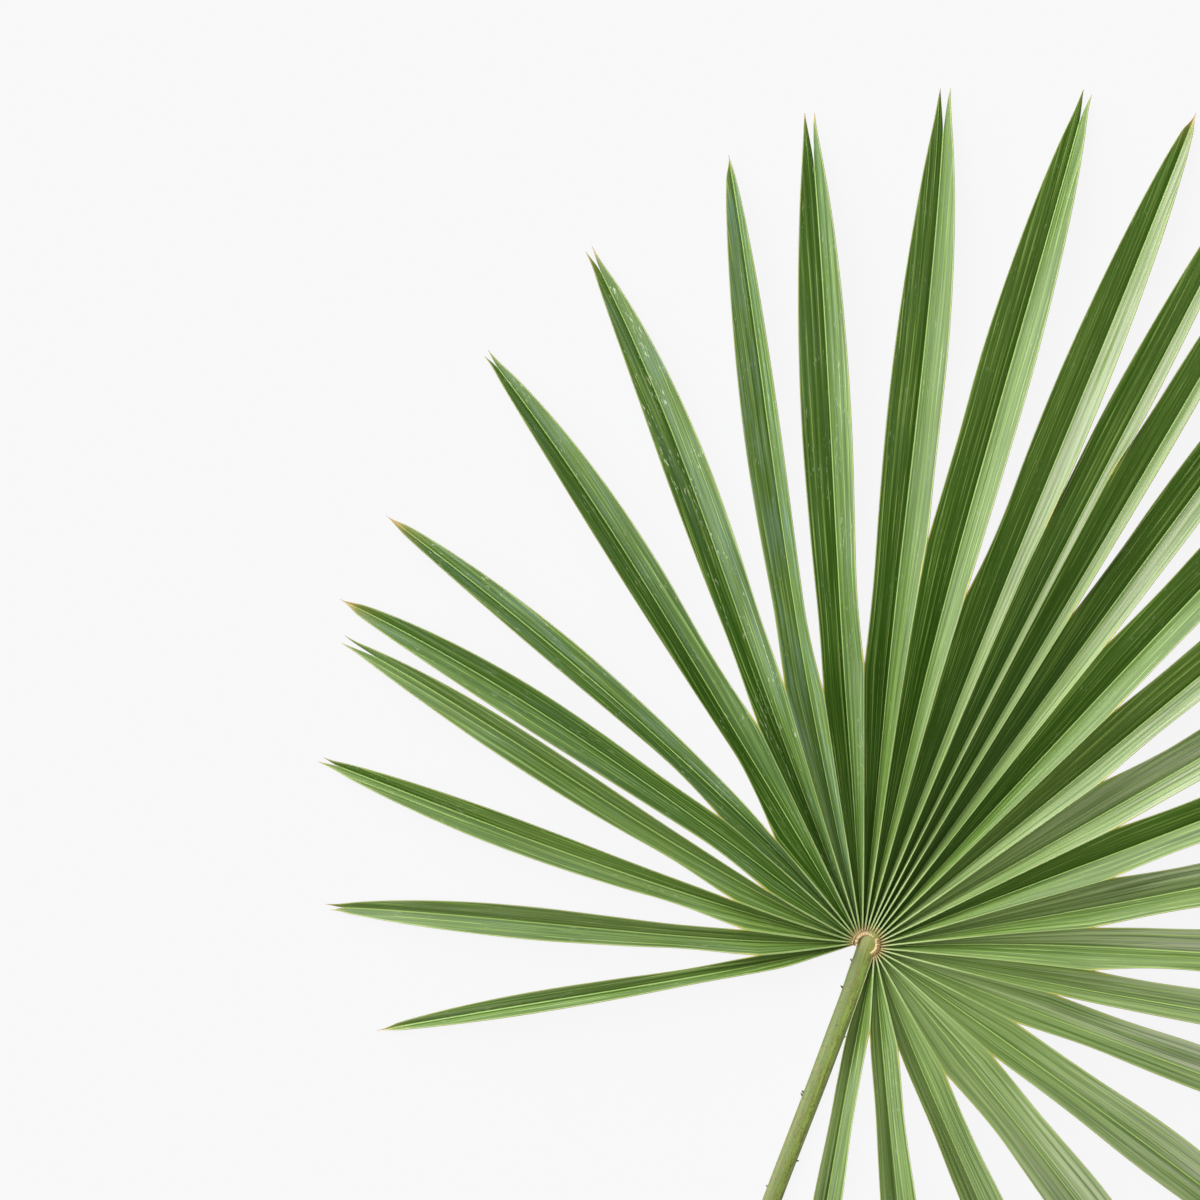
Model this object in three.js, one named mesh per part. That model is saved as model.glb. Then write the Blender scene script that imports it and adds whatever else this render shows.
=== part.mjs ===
// A fan palm leaf that lies flat with its upper side up: a petiole, the small hastula where the petiole
// meets the blade, and twenty-nine pleated segments that spread from it. Millimetres, +Z up, the leaf's
// axis along +Y, the petiole towards -Y. The origin is the bottom centre of the leaf's box.

import * as THREE from "three";

// ---- Driving dimensions: millimetres, and degrees ----

const LAMINA = 0.7; // upright thickness of a segment's wall
const SEAM = 0.3; // gap between two solids that touch

// The rim is the circle that the segments spring from, round the petiole's head.
const RIM = { x: -1.5, y: -1, radius: 9, first: 113, last: -134, crowding: 0.05 };
const BASE_RADIUS = 130; // out to here a midrib still leans towards its place on the rim
const MIDDLE = 0.55; // where along its reach a segment's middle bearing holds
const OUTER_PITCH = { first: 9, last: 14 }; // angle that the first and last outer ridges stand off by
const END_SPLIT = 60; // radius where those outer ridges end
const OPENING = 60; // length over which a split opens to the free segment's width

const WIDEST = 0.64; // where along its reach a segment is widest
const SWELL = 1.5; // how full a free half is before its widest place
const TIP = { start: 1.8, end: 0.7 }; // how it tapers from there to its tip
const NARROWEST = 1.3; // half width left at the tip
const SPREAD = 1.06; // half of a segment laid flat, over the wider half's width in plan
const MOST_RISE = 11; // highest that a margin stands over its midrib

const HUB_HEIGHT = 8; // underside of the midribs at the rim
// How much a segment bows up between the hub and its tip, and how that differs from one to the next.
const ARCH = { rise: 21, vary: 0.35, turn: 2.4 };
const PLEAT = { rim: 3.2, full: 10, radius: 55 }; // depth of the joined pleats, growing outwards

const PETIOLE = { length: 350, width: 12.6, slimmer: 12, height: 8.6 };
const LEAN = { aside: 0.8, from: 75, slope: 0.0095 }; // the shaft's line beside the hub's, and its lean
const NECK = { below: 4, widening: 1.08 }; // how far below the hub the shaft ends, and the head's start
const HEAD = { radius: 8.4, top: 9.4, widest: 0.45, lift: 4 };
const HASTULA = { radius: 6.4, width: 1.9, height: 2.6, first: 118, last: -112, steps: 16, thinnest: 0.45 };
// Shares of the shaft's length, and of the head's radius, where the petiole has a section.
const SHAFT_SECTIONS = [0, 0.12, 0.3, 0.48, 0.66, 0.82, 0.94];
const HEAD_SECTIONS = [-0.9, -0.5, 0, 0.45, 0.78, 0.95];

// One row for each segment, from the lower left, over the top, to the lower right. The bearings are
// degrees from the leaf's axis, positive to the left, of its midrib at BASE_RADIUS, at its middle and at
// its tip. reach is its length from the hub, left and right are the widths in plan of its two halves,
// split is the radius where it parts from the next segment, and share says how far from its own midrib
// to the next one their common ridge lies. The last segment has no next one.
const SEGMENTS = [
  { base: 120.8, middle: 120.5, tip: 120.3, reach: 325, left: 6, right: 8, split: 72, share: 0.41 },
  { base: 107.7, middle: 106.8, tip: 106.4, reach: 354, left: 11.2, right: 10.2, split: 81, share: 0.38 },
  { base: 94.8, middle: 93.5, tip: 91.7, reach: 377, left: 11.5, right: 10, split: 91, share: 0.28 },
  { base: 83.4, middle: 81.3, tip: 80.2, reach: 395, left: 13, right: 9.5, split: 74, share: 0.25 },
  { base: 74.4, middle: 74.8, tip: 77.2, reach: 410, left: 13.9, right: 11.2, split: 127, share: 0.49 },
  { base: 65.3, middle: 66.5, tip: 68.7, reach: 419, left: 8.6, right: 11.2, split: 91, share: 0.23 },
  { base: 52.9, middle: 52.2, tip: 53.2, reach: 458, left: 11.3, right: 14.5, split: 159, share: 0.55 },
  { base: 43.4, middle: 41.6, tip: 42.2, reach: 487, left: 14.3, right: 14.8, split: 176, share: 0.45 },
  { base: 34.4, middle: 31.9, tip: 30.3, reach: 520, left: 16.6, right: 7, split: 166, share: 0.38 },
  { base: 26, middle: 24.7, tip: 24.3, reach: 541, left: 19, right: 13.3, split: 181, share: 0.44 },
  { base: 16.7, middle: 15.2, tip: 15.1, reach: 558, left: 20, right: 15.2, split: 268, share: 0.41 },
  { base: 8.9, middle: 7, tip: 5.8, reach: 572, left: 21, right: 14.6, split: 234, share: 0.35 },
  { base: 0.4, middle: -0.8, tip: -1.3, reach: 580, left: 20, right: 12, split: 268, share: 0.34 },
  { base: -5.2, middle: -6.1, tip: -6.6, reach: 575, left: 18.5, right: 7, split: 341, share: 0.19 },
  { base: -9.6, middle: -10, tip: -10, reach: 572, left: 16.2, right: 6.5, split: 248, share: 0.24 },
  { base: -15.2, middle: -15.6, tip: -16, reach: 562, left: 18.5, right: 12.8, split: 247, share: 0.35 },
  { base: -22.6, middle: -22.8, tip: -23.3, reach: 549, left: 19.5, right: 14.5, split: 218, share: 0.41 },
  { base: -31.3, middle: -30.8, tip: -30.8, reach: 533, left: 19.5, right: 12.5, split: 183, share: 0.38 },
  { base: -41, middle: -40.4, tip: -39.8, reach: 507, left: 18.5, right: 13.5, split: 176, share: 0.42 },
  { base: -49.7, middle: -49.3, tip: -48.8, reach: 484, left: 16.5, right: 15, split: 163, share: 0.45 },
  { base: -60.8, middle: -60, tip: -59.5, reach: 458, left: 18, right: 13.5, split: 144, share: 0.49 },
  { base: -70.4, middle: -71.5, tip: -72, reach: 432, left: 17, right: 13, split: 146, share: 0.53 },
  { base: -82, middle: -81, tip: -80.6, reach: 413, left: 14.5, right: 9.5, split: 122, share: 0.29 },
  { base: -92, middle: -91.4, tip: -91.2, reach: 393, left: 18.5, right: 10.5, split: 107, share: 0.44 },
  { base: -105.6, middle: -105.7, tip: -106.6, reach: 370, left: 18, right: 15, split: 107, share: 0.44 },
  { base: -120.4, middle: -120.8, tip: -121.8, reach: 351, left: 18.5, right: 17, split: 98, share: 0.55 },
  { base: -137.1, middle: -136.7, tip: -136.3, reach: 331, left: 15, right: 12, split: 70, share: 0.47 },
  { base: -153.5, middle: -153.6, tip: -153.8, reach: 312, left: 12.5, right: 12, split: 57, share: 0.51 },
  { base: -169, middle: -169.1, tip: -169.3, reach: 292, left: 9.5, right: 9.5 },
];

// Radii where every segment has a section, then the shares of its reach that shape its taper.
const COMMON_RADII = [18, 32, 54, 85, 125, 170, 220, 275, 335, 395];
const TAPER = [0.72, 0.8, 0.86, 0.91, 0.95, 0.98, 1];
const APART = { end: 15, split: 9, least: 4 }; // least distances between two sections of a segment

// ---- Plan: where the midribs, the ridges and the free margins run ----

const COUNT = SEGMENTS.length;
const radians = THREE.MathUtils.degToRad;
const { lerp, clamp } = THREE.MathUtils;

function polar(radius, bearing) {
  return new THREE.Vector2(-Math.sin(radians(bearing)), Math.cos(radians(bearing))).multiplyScalar(radius);
}

// A row of the table, the first or the last one for a place just past its ends.
function rowOf(index) {
  return SEGMENTS[clamp(index, 0, COUNT - 1)];
}

// The bearing of a midrib at a radius, a curve through the row's three bearings.
function bearingAt(index, radius) {
  const { base, middle, tip, reach } = rowOf(index);
  const beyond = index < 0 ? OUTER_PITCH.first : index >= COUNT ? -OUTER_PITCH.last : 0;
  const inner = BASE_RADIUS;
  const half = MIDDLE * reach;
  const first = (middle - base) / (half - inner);
  const second = ((tip - middle) / (reach - half) - first) / (reach - inner);
  return beyond + base + (radius - inner) * (first + (radius - half) * second);
}

// A place on the rim, for a count of segments from its left end. They crowd towards both ends.
function rimPoint(along) {
  const share = along / COUNT;
  const eased = share - RIM.crowding * Math.sin(2 * Math.PI * share);
  return polar(RIM.radius, lerp(RIM.first, RIM.last, eased)).add(new THREE.Vector2(RIM.x, RIM.y));
}

// A point of a midrib in plan: on its bearing, drawn over to its place on the rim near the hub.
function ribPoint(index, radius) {
  const bent = Math.max(0, 1 - (radius - RIM.radius) / (BASE_RADIUS - RIM.radius)) ** 2;
  const shift = rimPoint(index + 0.5).sub(polar(RIM.radius, bearingAt(index, RIM.radius)));
  return polar(radius, bearingAt(index, radius)).add(shift.multiplyScalar(bent));
}

// What a segment has on one side, where side is 1 on the left and -1 on the right.
function sideOf(index, side) {
  const lower = side > 0 ? index - 1 : index; // the row that holds the ridge between the two
  const inside = lower >= 0 && lower < COUNT - 1;
  return {
    neighbour: index - side,
    split: inside ? SEGMENTS[lower].split : END_SPLIT,
    share: inside ? (side > 0 ? 1 - SEGMENTS[lower].share : SEGMENTS[lower].share) : 0.5,
  };
}

// The width of a free half along the segment, as a share of its greatest width.
function outline(along) {
  if (along < WIDEST) return 1 - (1 - along / WIDEST) ** SWELL;
  return (1 - clamp((along - WIDEST) / (1 - WIDEST), 0, 1) ** TIP.start) ** TIP.end;
}

function freeWidth(index, side, radius) {
  const row = rowOf(index);
  const most = side > 0 ? row.left : row.right;
  return Math.max(NARROWEST, most * outline(radius / row.reach));
}

// From 0, joined to its neighbour, to 1, free of it.
function openness(index, side, radius) {
  const past = clamp((radius - sideOf(index, side).split) / OPENING, 0, 1);
  return 1 - (1 - past) ** 2;
}

// ---- Heights ----

// The top of a midrib over the surface that the leaf lies on. Segments bow up by different amounts.
function valleyTop(index, radius) {
  const along = Math.min(radius / rowOf(index).reach, 1);
  const bow = ARCH.rise * (1 + ARCH.vary * Math.sin(ARCH.turn * index));
  return LAMINA + (1 - along ** 2) * (HUB_HEIGHT + bow * along);
}

function pleatDepth(radius) {
  return lerp(PLEAT.rim, PLEAT.full, 1 - Math.exp(-(radius - RIM.radius) / PLEAT.radius));
}

// How far a free margin stands over its midrib: the half laid flat is longer than it is in plan.
function freeRise(index, side, radius) {
  const flat = SPREAD * Math.max(freeWidth(index, 1, radius), freeWidth(index, -1, radius));
  return Math.min(MOST_RISE, Math.sqrt(flat ** 2 - freeWidth(index, side, radius) ** 2));
}

// ---- Sections ----

function marginPoint(index, side, radius) {
  const { neighbour, share } = sideOf(index, side);
  const open = openness(index, side, radius);
  const rib = ribPoint(index, radius);
  const joined = rib.clone().lerp(ribPoint(neighbour, radius), share);
  const inset = joined.clone().sub(rib).setLength(SEAM / 2);
  const across = polar(side * freeWidth(index, side, radius), bearingAt(index, radius) + 90);
  const plan = joined.sub(inset).lerp(rib.clone().add(across), open);

  const crest = (place) => valleyTop(place, radius) + pleatDepth(radius);
  const ridge = (crest(index) + crest(clamp(neighbour, 0, COUNT - 1))) / 2;
  const free = valleyTop(index, radius) + freeRise(index, side, radius);
  return new THREE.Vector3(plan.x, plan.y, lerp(ridge, free, open));
}

// Six points round a segment's wall at one radius: its upper side from left to right, then back below.
function segmentSection(index, radius) {
  const rib = ribPoint(index, radius);
  const upper = [
    marginPoint(index, 1, radius),
    new THREE.Vector3(rib.x, rib.y, valleyTop(index, radius)),
    marginPoint(index, -1, radius),
  ];
  const lower = upper.map((p) => p.clone().setZ(p.z - LAMINA)).reverse();
  return [...upper, ...lower];
}

function segmentRadii(index) {
  const { reach } = SEGMENTS[index];
  const shared = COMMON_RADII.filter((radius) => radius < TAPER[0] * reach - APART.end);
  const splits = [1, -1].flatMap((side) => {
    const { split } = sideOf(index, side);
    return [split, split + OPENING / 2, split + OPENING];
  });
  const apart = splits.filter((at, i) => splits.indexOf(at) === i);
  const kept = shared.filter((radius) => apart.every((at) => Math.abs(at - radius) > APART.split));
  const ends = TAPER.map((part) => part * reach);
  const all = [...kept, ...apart, ...ends].sort((a, b) => a - b);
  return [RIM.radius, ...all.filter((at, i) => i === 0 || at - all[i - 1] > APART.least)];
}

// ---- Solids ----

// A closed solid through sections with the same number of points, each end closed by the given faces.
// The second half of a section's points is cut along the first half's diagonals, so that the two faces
// of a thin twisted wall stay apart.
function loft(sections, ends) {
  const count = sections[0].length;
  const corners = sections.flat().flatMap((p) => [p.x, p.y, p.z]);
  const faces = [];
  for (let ring = 0; ring < sections.length - 1; ring++) {
    for (let i = 0; i < count; i++) {
      const here = ring * count + i;
      const next = ring * count + ((i + 1) % count);
      if (i < count / 2) faces.push(here, next, next + count, here, next + count, here + count);
      else faces.push(here, next, here + count, next, next + count, here + count);
    }
  }
  const last = (sections.length - 1) * count;
  for (const [a, b, c] of ends) faces.push(a, c, b, last + a, last + b, last + c);
  const solid = new THREE.BufferGeometry();
  solid.setAttribute("position", new THREE.Float32BufferAttribute(corners, 3));
  solid.setIndex(faces);
  solid.computeVertexNormals();
  return solid;
}

function fan(count) {
  return Array.from({ length: count - 2 }, (_, i) => [0, i + 1, i + 2]);
}

function segmentSolid(index) {
  const sections = segmentRadii(index).map((radius) => segmentSection(index, radius));
  return loft(sections, [[0, 1, 4], [0, 4, 5], [1, 2, 3], [1, 3, 4]]);
}

// Corners of the petiole's section, as shares of its width and of its height: flat below where it lies,
// round at the sides, with a low ridge along its top.
const STALK_SHAPE = [
  [-0.3, 0], [-0.44, 0.22], [-0.5, 0.55], [-0.38, 0.87], [-0.12, 1],
  [0.14, 0.98], [0.36, 0.8], [0.5, 0.5], [0.44, 0.2], [0.3, 0],
];

function petioleSection(y, width, bottom, top, aside = 0) {
  const centre = RIM.x + aside;
  return STALK_SHAPE.map(([x, z]) => new THREE.Vector3(centre + x * width, y, lerp(bottom, top, z)));
}

function petioleSolid() {
  const { length, width, slimmer, height } = PETIOLE;
  const end = RIM.y - length;
  const shaft = SHAFT_SECTIONS.map((along) => {
    const waist = Math.sin(Math.PI * along) ** 2;
    const y = lerp(end, RIM.y - NECK.below, along);
    const aside = LEAN.aside - LEAN.slope * Math.max(0, RIM.y - y - LEAN.from);
    return petioleSection(y, lerp(width, slimmer, waist), 0, height, aside);
  });
  const head = HEAD_SECTIONS.map((along) => {
    const half = Math.sqrt(1 - Math.max(along, -HEAD.widest) ** 2) * HEAD.radius;
    const lift = Math.max(0, along) ** 2 * HEAD.lift;
    return petioleSection(RIM.y + along * HEAD.radius, 2 * Math.max(half, width / 2), lift, HEAD.top);
  });
  const start = RIM.y + HEAD_SECTIONS[0] * HEAD.radius;
  head[0] = petioleSection(start, NECK.widening * width, 0, (height + HEAD.top) / 2, LEAN.aside / 2);
  return loft([...shaft, ...head], fan(head[0].length));
}

// Corners of the hastula's section, as shares of its width and of its height.
const LIP_SHAPE = [[-0.5, 0], [0.5, 0], [0.42, 0.7], [0, 1], [-0.42, 0.7]];

// A low lip on the petiole's head that follows the rim.
function hastulaSolid() {
  const { radius, width, height, first, last, steps, thinnest } = HASTULA;
  const bottom = HEAD.top + SEAM;
  const sections = Array.from({ length: steps + 1 }, (_, i) => {
    const bearing = lerp(first, last, i / steps);
    const taper = lerp(thinnest, 1, Math.sqrt(Math.sin((Math.PI * i) / steps)));
    return LIP_SHAPE.map(([out, up]) => {
      const plan = polar(radius + out * width * taper, bearing);
      return new THREE.Vector3(RIM.x + plan.x, RIM.y + plan.y, bottom + up * height * taper);
    });
  });
  return loft(sections, fan(LIP_SHAPE.length));
}

// ---- Materials and the assembled leaf ----

function finish(color, roughness) {
  return new THREE.MeshStandardMaterial({ color, roughness, metalness: 0, side: THREE.DoubleSide });
}

const leafGreen = finish("#477527", 0.5);
const stalkGreen = finish("#8c9458", 0.6);
const driedTan = finish("#b4916a", 0.75);

function named(name, geometry, material) {
  const mesh = new THREE.Mesh(geometry, material);
  mesh.name = name;
  return mesh;
}

const leaf = new THREE.Group();
leaf.name = "fan_palm_leaf";
leaf.add(named("petiole", petioleSolid(), stalkGreen));
leaf.add(named("hastula", hastulaSolid(), driedTan));
for (let index = 0; index < COUNT; index++) {
  const name = `segment_${String(index + 1).padStart(2, "0")}`;
  leaf.add(named(name, segmentSolid(index), leafGreen));
}

const box = new THREE.Box3().setFromObject(leaf);
const middle = box.getCenter(new THREE.Vector3());
leaf.position.set(-middle.x, -middle.y, -box.min.z);

export default leaf;
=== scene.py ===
"""A fan palm leaf that lies flat with its upper side up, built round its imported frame.

The frame gives the lines that the leaf grows along: each segment's two margins and its midrib, the
petiole's sections and the hastula's arc. The operators turn them into the real surfaces: folded blades
with cords, veins and split tips, a ribbed petiole with teeth and a cut end, and a dry, torn hastula.
"""

import math
import random
from functools import partial

import bpy
import numpy as np
from bpy.props import FloatProperty, FloatVectorProperty, PointerProperty
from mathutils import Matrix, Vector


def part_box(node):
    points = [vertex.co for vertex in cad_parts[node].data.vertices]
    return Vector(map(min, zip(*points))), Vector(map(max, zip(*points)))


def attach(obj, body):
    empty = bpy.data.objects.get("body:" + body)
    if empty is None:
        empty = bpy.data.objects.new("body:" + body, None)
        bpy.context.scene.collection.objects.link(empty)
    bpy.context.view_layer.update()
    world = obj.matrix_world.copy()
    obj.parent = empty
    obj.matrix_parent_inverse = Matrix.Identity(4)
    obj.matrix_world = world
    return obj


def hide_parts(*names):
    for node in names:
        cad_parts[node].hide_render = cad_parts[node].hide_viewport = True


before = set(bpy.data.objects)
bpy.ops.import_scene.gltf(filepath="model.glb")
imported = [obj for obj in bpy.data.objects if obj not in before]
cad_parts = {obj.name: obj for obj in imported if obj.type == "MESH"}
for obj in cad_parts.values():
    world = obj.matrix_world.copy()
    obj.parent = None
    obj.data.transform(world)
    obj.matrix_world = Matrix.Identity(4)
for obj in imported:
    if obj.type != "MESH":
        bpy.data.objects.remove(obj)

bl_info = {
    "name": "Fan Palm Leaf",
    "version": (1, 0, 0),
    "blender": (4, 5, 0),
    "location": "View3D > Sidebar > Palm Leaf",
    "description": "Builds the visible surfaces of a fan palm leaf that lies flat",
    "category": "Add Mesh",
}

MM = 0.001
BODY = "root"
SEGMENT_NODES = sorted(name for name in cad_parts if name.startswith("segment_"))
SEED = 29


# ---- Colours and nodes ----


def linear(code):
    """The linear red, green, blue and alpha of an sRGB hex value."""
    parts = (int(code[place:place + 2], 16) / 255 for place in (1, 3, 5))
    return (*(c / 12.92 if c <= 0.04045 else ((c + 0.055) / 1.055) ** 2.4 for c in parts), 1.0)


def add(tree, kind, inputs=None, out=0, **settings):
    """Adds a node and returns one of its outputs, if it has any. An input that is a socket is linked."""
    made = tree.nodes.new(kind)
    for name, value in settings.items():
        setattr(made, name, value)
    for key, value in (inputs or {}).items():
        if isinstance(value, bpy.types.NodeSocket):
            tree.links.new(value, made.inputs[key])
        else:
            made.inputs[key].default_value = value
    return made.outputs[out] if made.outputs else made


def new_material(name):
    """An empty node material, with the function that adds nodes to it."""
    material = bpy.data.materials.new(name)
    material.use_nodes = True
    material.node_tree.nodes.clear()
    return material, partial(add, material.node_tree)


# ---- What a user would change ----


def length_of(name, millimetres, description):
    """A length that a user can change, given here in millimetres."""
    return FloatProperty(name=name, default=millimetres * MM, min=0, precision=5, unit="LENGTH",
                         description=description)


def colour_of(name, code, description):
    """A colour that a user can change, given here as an sRGB hex value."""
    return FloatVectorProperty(name=name, default=linear(code), size=4, min=0, max=1, subtype="COLOR",
                               description=description)


class BladeSettings(bpy.types.PropertyGroup):
    """Sizes and colours of the pleated blade."""

    thickness: length_of("Thickness", 0.38, "Wall of a segment between its veins")
    cord: length_of("Midrib cord", 0.24, "How far the midrib stands over the valley")
    keel: length_of("Keel", 0.26, "How far the midrib stands out below, at the tip")
    ridge: length_of("Ridge cord", 0.5, "How far the cord on a joined ridge stands up")
    bead: length_of("Margin bead", 0.1, "How far the thickened free margin stands up")
    corrugation: length_of("Veins", 0.13, "Height of the secondary veins on the widest half")
    vein_pitch: length_of("Vein pitch", 4.6, "Distance between two secondary veins")
    fibre_pitch: length_of("Fibre pitch", 1.25, "Distance between two fine veins")
    # Used only as painted shade: on the halves turned from the window and in the folds beside the midribs.
    painted_shade: colour_of("Deep green", "#254a00", "The blade's darkest green, near the hub")
    fresh: colour_of("Leaf green", "#536b2a", "The blade's lighter green")
    vein: colour_of("Vein", "#93ae5e", "Midribs and the stronger veins")
    ridge_colour: colour_of("Ridge", "#93a76a", "Cords of the joined ridges near the hub")
    dry: colour_of("Dry tip", "#ad9462", "Withered tips")
    bloom: colour_of("Bloom", "#6f877a", "Wax bloom on the older segments")
    underside: colour_of("Underside", "#6f8a58", "The duller lower side")


class StalkSettings(bpy.types.PropertyGroup):
    """Sizes and colours of the petiole and the hastula."""

    rib: length_of("Ribs", 0.09, "Height of the petiole's lengthwise ribs")
    tooth: length_of("Teeth", 2.3, "Length of the small teeth on the petiole's margins")
    torn: length_of("Torn edge", 0.5, "How far the hastula's dry edge rises and falls")
    pale: colour_of("Petiole", "#748647", "The petiole's lighter side")
    # Laid on the side towards the window: partly the petiole's own browner colour, partly painted shade that
    # evens out the window's light.
    deep: colour_of("Petiole shade", "#5a6a30", "The petiole's browner side")
    husk: colour_of("Hastula", "#d2bb8c", "Dry tissue round the hub")
    pith: colour_of("Cut end", "#a9a572", "Fresh pith on the cut end")


class StageSettings(bpy.types.PropertyGroup):
    """The floor, the light and the camera's distance."""

    floor: FloatProperty(name="Floor", default=12, unit="LENGTH", description="Side of the floor")
    distance: FloatProperty(name="Camera distance", default=6.0, unit="LENGTH",
                            description="Height of the camera over the floor")
    key: FloatProperty(name="Key light", default=5.6, min=0, description="Brightness of the soft window")
    fill: FloatProperty(name="Fill light", default=0.16, min=0, description="Brightness of the rest")
    white: colour_of("Floor colour", "#f7f7f7", "Plain pale floor")


# ---- Lines read back from the frame ----


def bunches(values, gap):
    """Sorted places of values, parted wherever the next value is more than a gap away."""
    order = np.argsort(values, kind="stable")
    breaks = np.nonzero(np.diff(np.asarray(values)[order]) > gap)[0] + 1
    return np.split(order, breaks)


def corners_of(name):
    """A node's vertices, as rows of x, y and z."""
    return np.array([vertex.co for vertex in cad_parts[name].data.vertices])


HEAD_REACH = 0.95  # of the petiole's head, from its centre to its end, over the head's half width


def hub_centre():
    """The centre of the rim that the segments spring from, in plan."""
    low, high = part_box("petiole")
    half = (high.x - low.x) / 2
    return np.array([(low.x + high.x) / 2, high.y - HEAD_REACH * half])


HUB = hub_centre()


def through(places, points, wanted, corner=None):
    """Samples a smooth curve that passes each point at its place and may turn sharply at one of them."""
    steps = np.diff(places)[:, None]
    slopes = np.diff(points, axis=0) / steps
    inner = (slopes[:-1] * steps[1:] + slopes[1:] * steps[:-1]) / (steps[1:] + steps[:-1])
    arriving = np.vstack([slopes[:1], inner, slopes[-1:]])
    leaving = arriving.copy()
    if corner:
        arriving[corner] = slopes[corner - 1]
        leaving[corner] = slopes[corner]
    wanted = np.clip(wanted, places[0], places[-1])
    here = np.clip(np.searchsorted(places, wanted, side="right") - 1, 0, len(steps) - 1)
    t = (wanted - places[here])[:, None] / steps[here]
    start = (1 + 2 * t) * (1 - t) ** 2 * points[here] + t * (1 - t) ** 2 * steps[here] * leaving[here]
    end = t * t * (3 - 2 * t) * points[here + 1] + t * t * (t - 1) * steps[here] * arriving[here + 1]
    return start + end


RING_GAP = 2.5 * MM  # the frame's sections stand further apart than this along a segment
COLUMN_GAP = 0.02 * MM  # and the three lines of a section stand further apart than this
JOINED_GAP = 0.7 * MM  # two margins closer than this are one ridge


class Lines:
    """A segment's upper lines: left margin, midrib and right margin, by distance from the hub."""

    def __init__(self, name):
        corners = corners_of(name)
        out = corners[:, :2] - HUB
        far = np.hypot(*out.T)
        heading = out[np.argmax(far)] / far.max()
        sideways = out @ np.array([-heading[1], heading[0]])
        rings = []
        for ring in bunches(far, RING_GAP):
            columns = [ring[part] for part in bunches(sideways[ring], COLUMN_GAP)]
            if len(columns) != 3:
                raise RuntimeError(f"{name} has a section of {len(columns)} lines, not 3")
            rings.append([[*corners[c, :2].mean(0), corners[c, 2].max()] for c in reversed(columns)])
        self.rails = np.array(rings).transpose(1, 0, 2)
        self.places = [np.hypot(*(rail[:, :2] - HUB).T) for rail in self.rails]
        self.corner = {0: None, 2: None}
        self.other = {0: None, 2: None}

    def meet(self, side, other):
        """Finds how far a margin runs joined to the neighbour's."""
        theirs = [np.interp(self.places[side], other.places[2 - side], other.rails[2 - side][:, axis])
                  for axis in (0, 1)]
        apart = np.hypot(*(self.rails[side][:, :2].T - theirs))
        self.corner[side] = int(np.argmax(apart > JOINED_GAP)) - 1
        self.other[side] = other

    def split(self, side):
        """Where a margin parts from its neighbour's; the outer margins are free from the rim on."""
        return self.places[side][self.corner[side] or 0]

    def along(self, line, far):
        """Points of one line at distances from the hub. A joined margin runs midway to the other's."""
        own = through(self.places[line], self.rails[line], far, self.corner.get(line))
        other = self.other.get(line)
        if other is None:
            return own
        near = np.minimum(far, self.split(line))
        mine = through(self.places[line], self.rails[line], near, self.corner[line])
        theirs = through(other.places[2 - line], other.rails[2 - line], near, other.corner[2 - line])
        fade = np.exp(-np.maximum(0, far - self.split(line)) / (6 * MM))
        return own + (theirs - mine) / 2 * fade[:, None]


def read_segments():
    """Every segment's lines, with the neighbours' ridges found."""
    lines = [Lines(name) for name in SEGMENT_NODES]
    for left, right in zip(lines, lines[1:]):
        left.meet(2, right)
        right.meet(0, left)
    return lines


# ---- Meshes ----


def unit(vectors):
    """Vectors of length one."""
    return vectors / np.linalg.norm(vectors, axis=-1, keepdims=True)


def smooth(values, start, end):
    """0 before the start, 1 after the end, and a smooth step between."""
    t = np.clip((values - start) / (end - start), 0, 1)
    return t * t * (3 - 2 * t)


def new_piece(name, points, faces, materials, replaces=None, attributes=None, end_faces=()):
    """A smooth-shaded piece that rides on the leaf. end_faces take the second material."""
    mesh = bpy.data.meshes.new(name)
    faces = faces.tolist() if isinstance(faces, np.ndarray) else faces
    mesh.from_pydata(np.asarray(points).tolist(), [], faces)
    mesh.polygons.foreach_set("use_smooth", [True] * len(mesh.polygons))
    for material in materials:
        mesh.materials.append(material)
    for index in end_faces:
        mesh.polygons[index].material_index = 1
    mesh.validate()
    for key, values in (attributes or {}).items():
        layer = mesh.attributes.new(key, "FLOAT", "POINT")
        layer.data.foreach_set("value", np.asarray(values, dtype=np.float32))
    mesh.update()
    piece = bpy.data.objects.new(name, mesh)
    bpy.context.scene.collection.objects.link(piece)
    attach(piece, BODY)
    if replaces:
        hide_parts(replaces)
    return piece


def ring_faces(rings, count):
    """Quads between rings of points that follow one another in a mesh, each ring closed on itself."""
    return [
        (r * count + i, r * count + (i + 1) % count, (r + 1) * count + (i + 1) % count, (r + 1) * count + i)
        for r in range(rings - 1) for i in range(count)
    ]


# ---- The segments ----

STATIONS = 118
CORD_STEPS = np.array([0, 0.2, 0.42, 0.72, 1.15]) * MM  # columns beside the midrib
BEAD_STEPS = np.array([1.1, 0.66, 0.36, 0.14, 0]) * MM  # columns beside a margin
INNER_COLUMNS = 11  # between the two
BAND_SHARE = 0.34  # each of the two bands takes at most this much of a narrow half
CROWDING = 0.115  # how much closer the stations stand at a segment's ends
CLEAR_OF_SPLIT = 1.2 * MM
PARTING = (6 * MM, 16 * MM)  # a joined ridge fades out from before the split to after it
WAVE = 0.32 * MM  # a free margin rises and falls by this, three times over
WAVE_LENGTHS = (60, 190)  # millimetres
WAVE_FADES = (90 * MM, 60 * MM)  # after the split, and before the tip
NARROW = 3.4 * MM  # cords are thinner where a half is narrower than this
TAPER = 16 * MM  # length of a single tip's point
POINT = 0.1 * MM  # each point of a split tip ends this wide
ARCH = 0.03  # how far a half bows up, over its width
CORD_WIDTH = 0.3 * MM
RIDGE_WIDTH = 0.62 * MM
BEAD_WIDTH = 0.3 * MM
KEEL_WIDTH = 0.55 * MM
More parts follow.
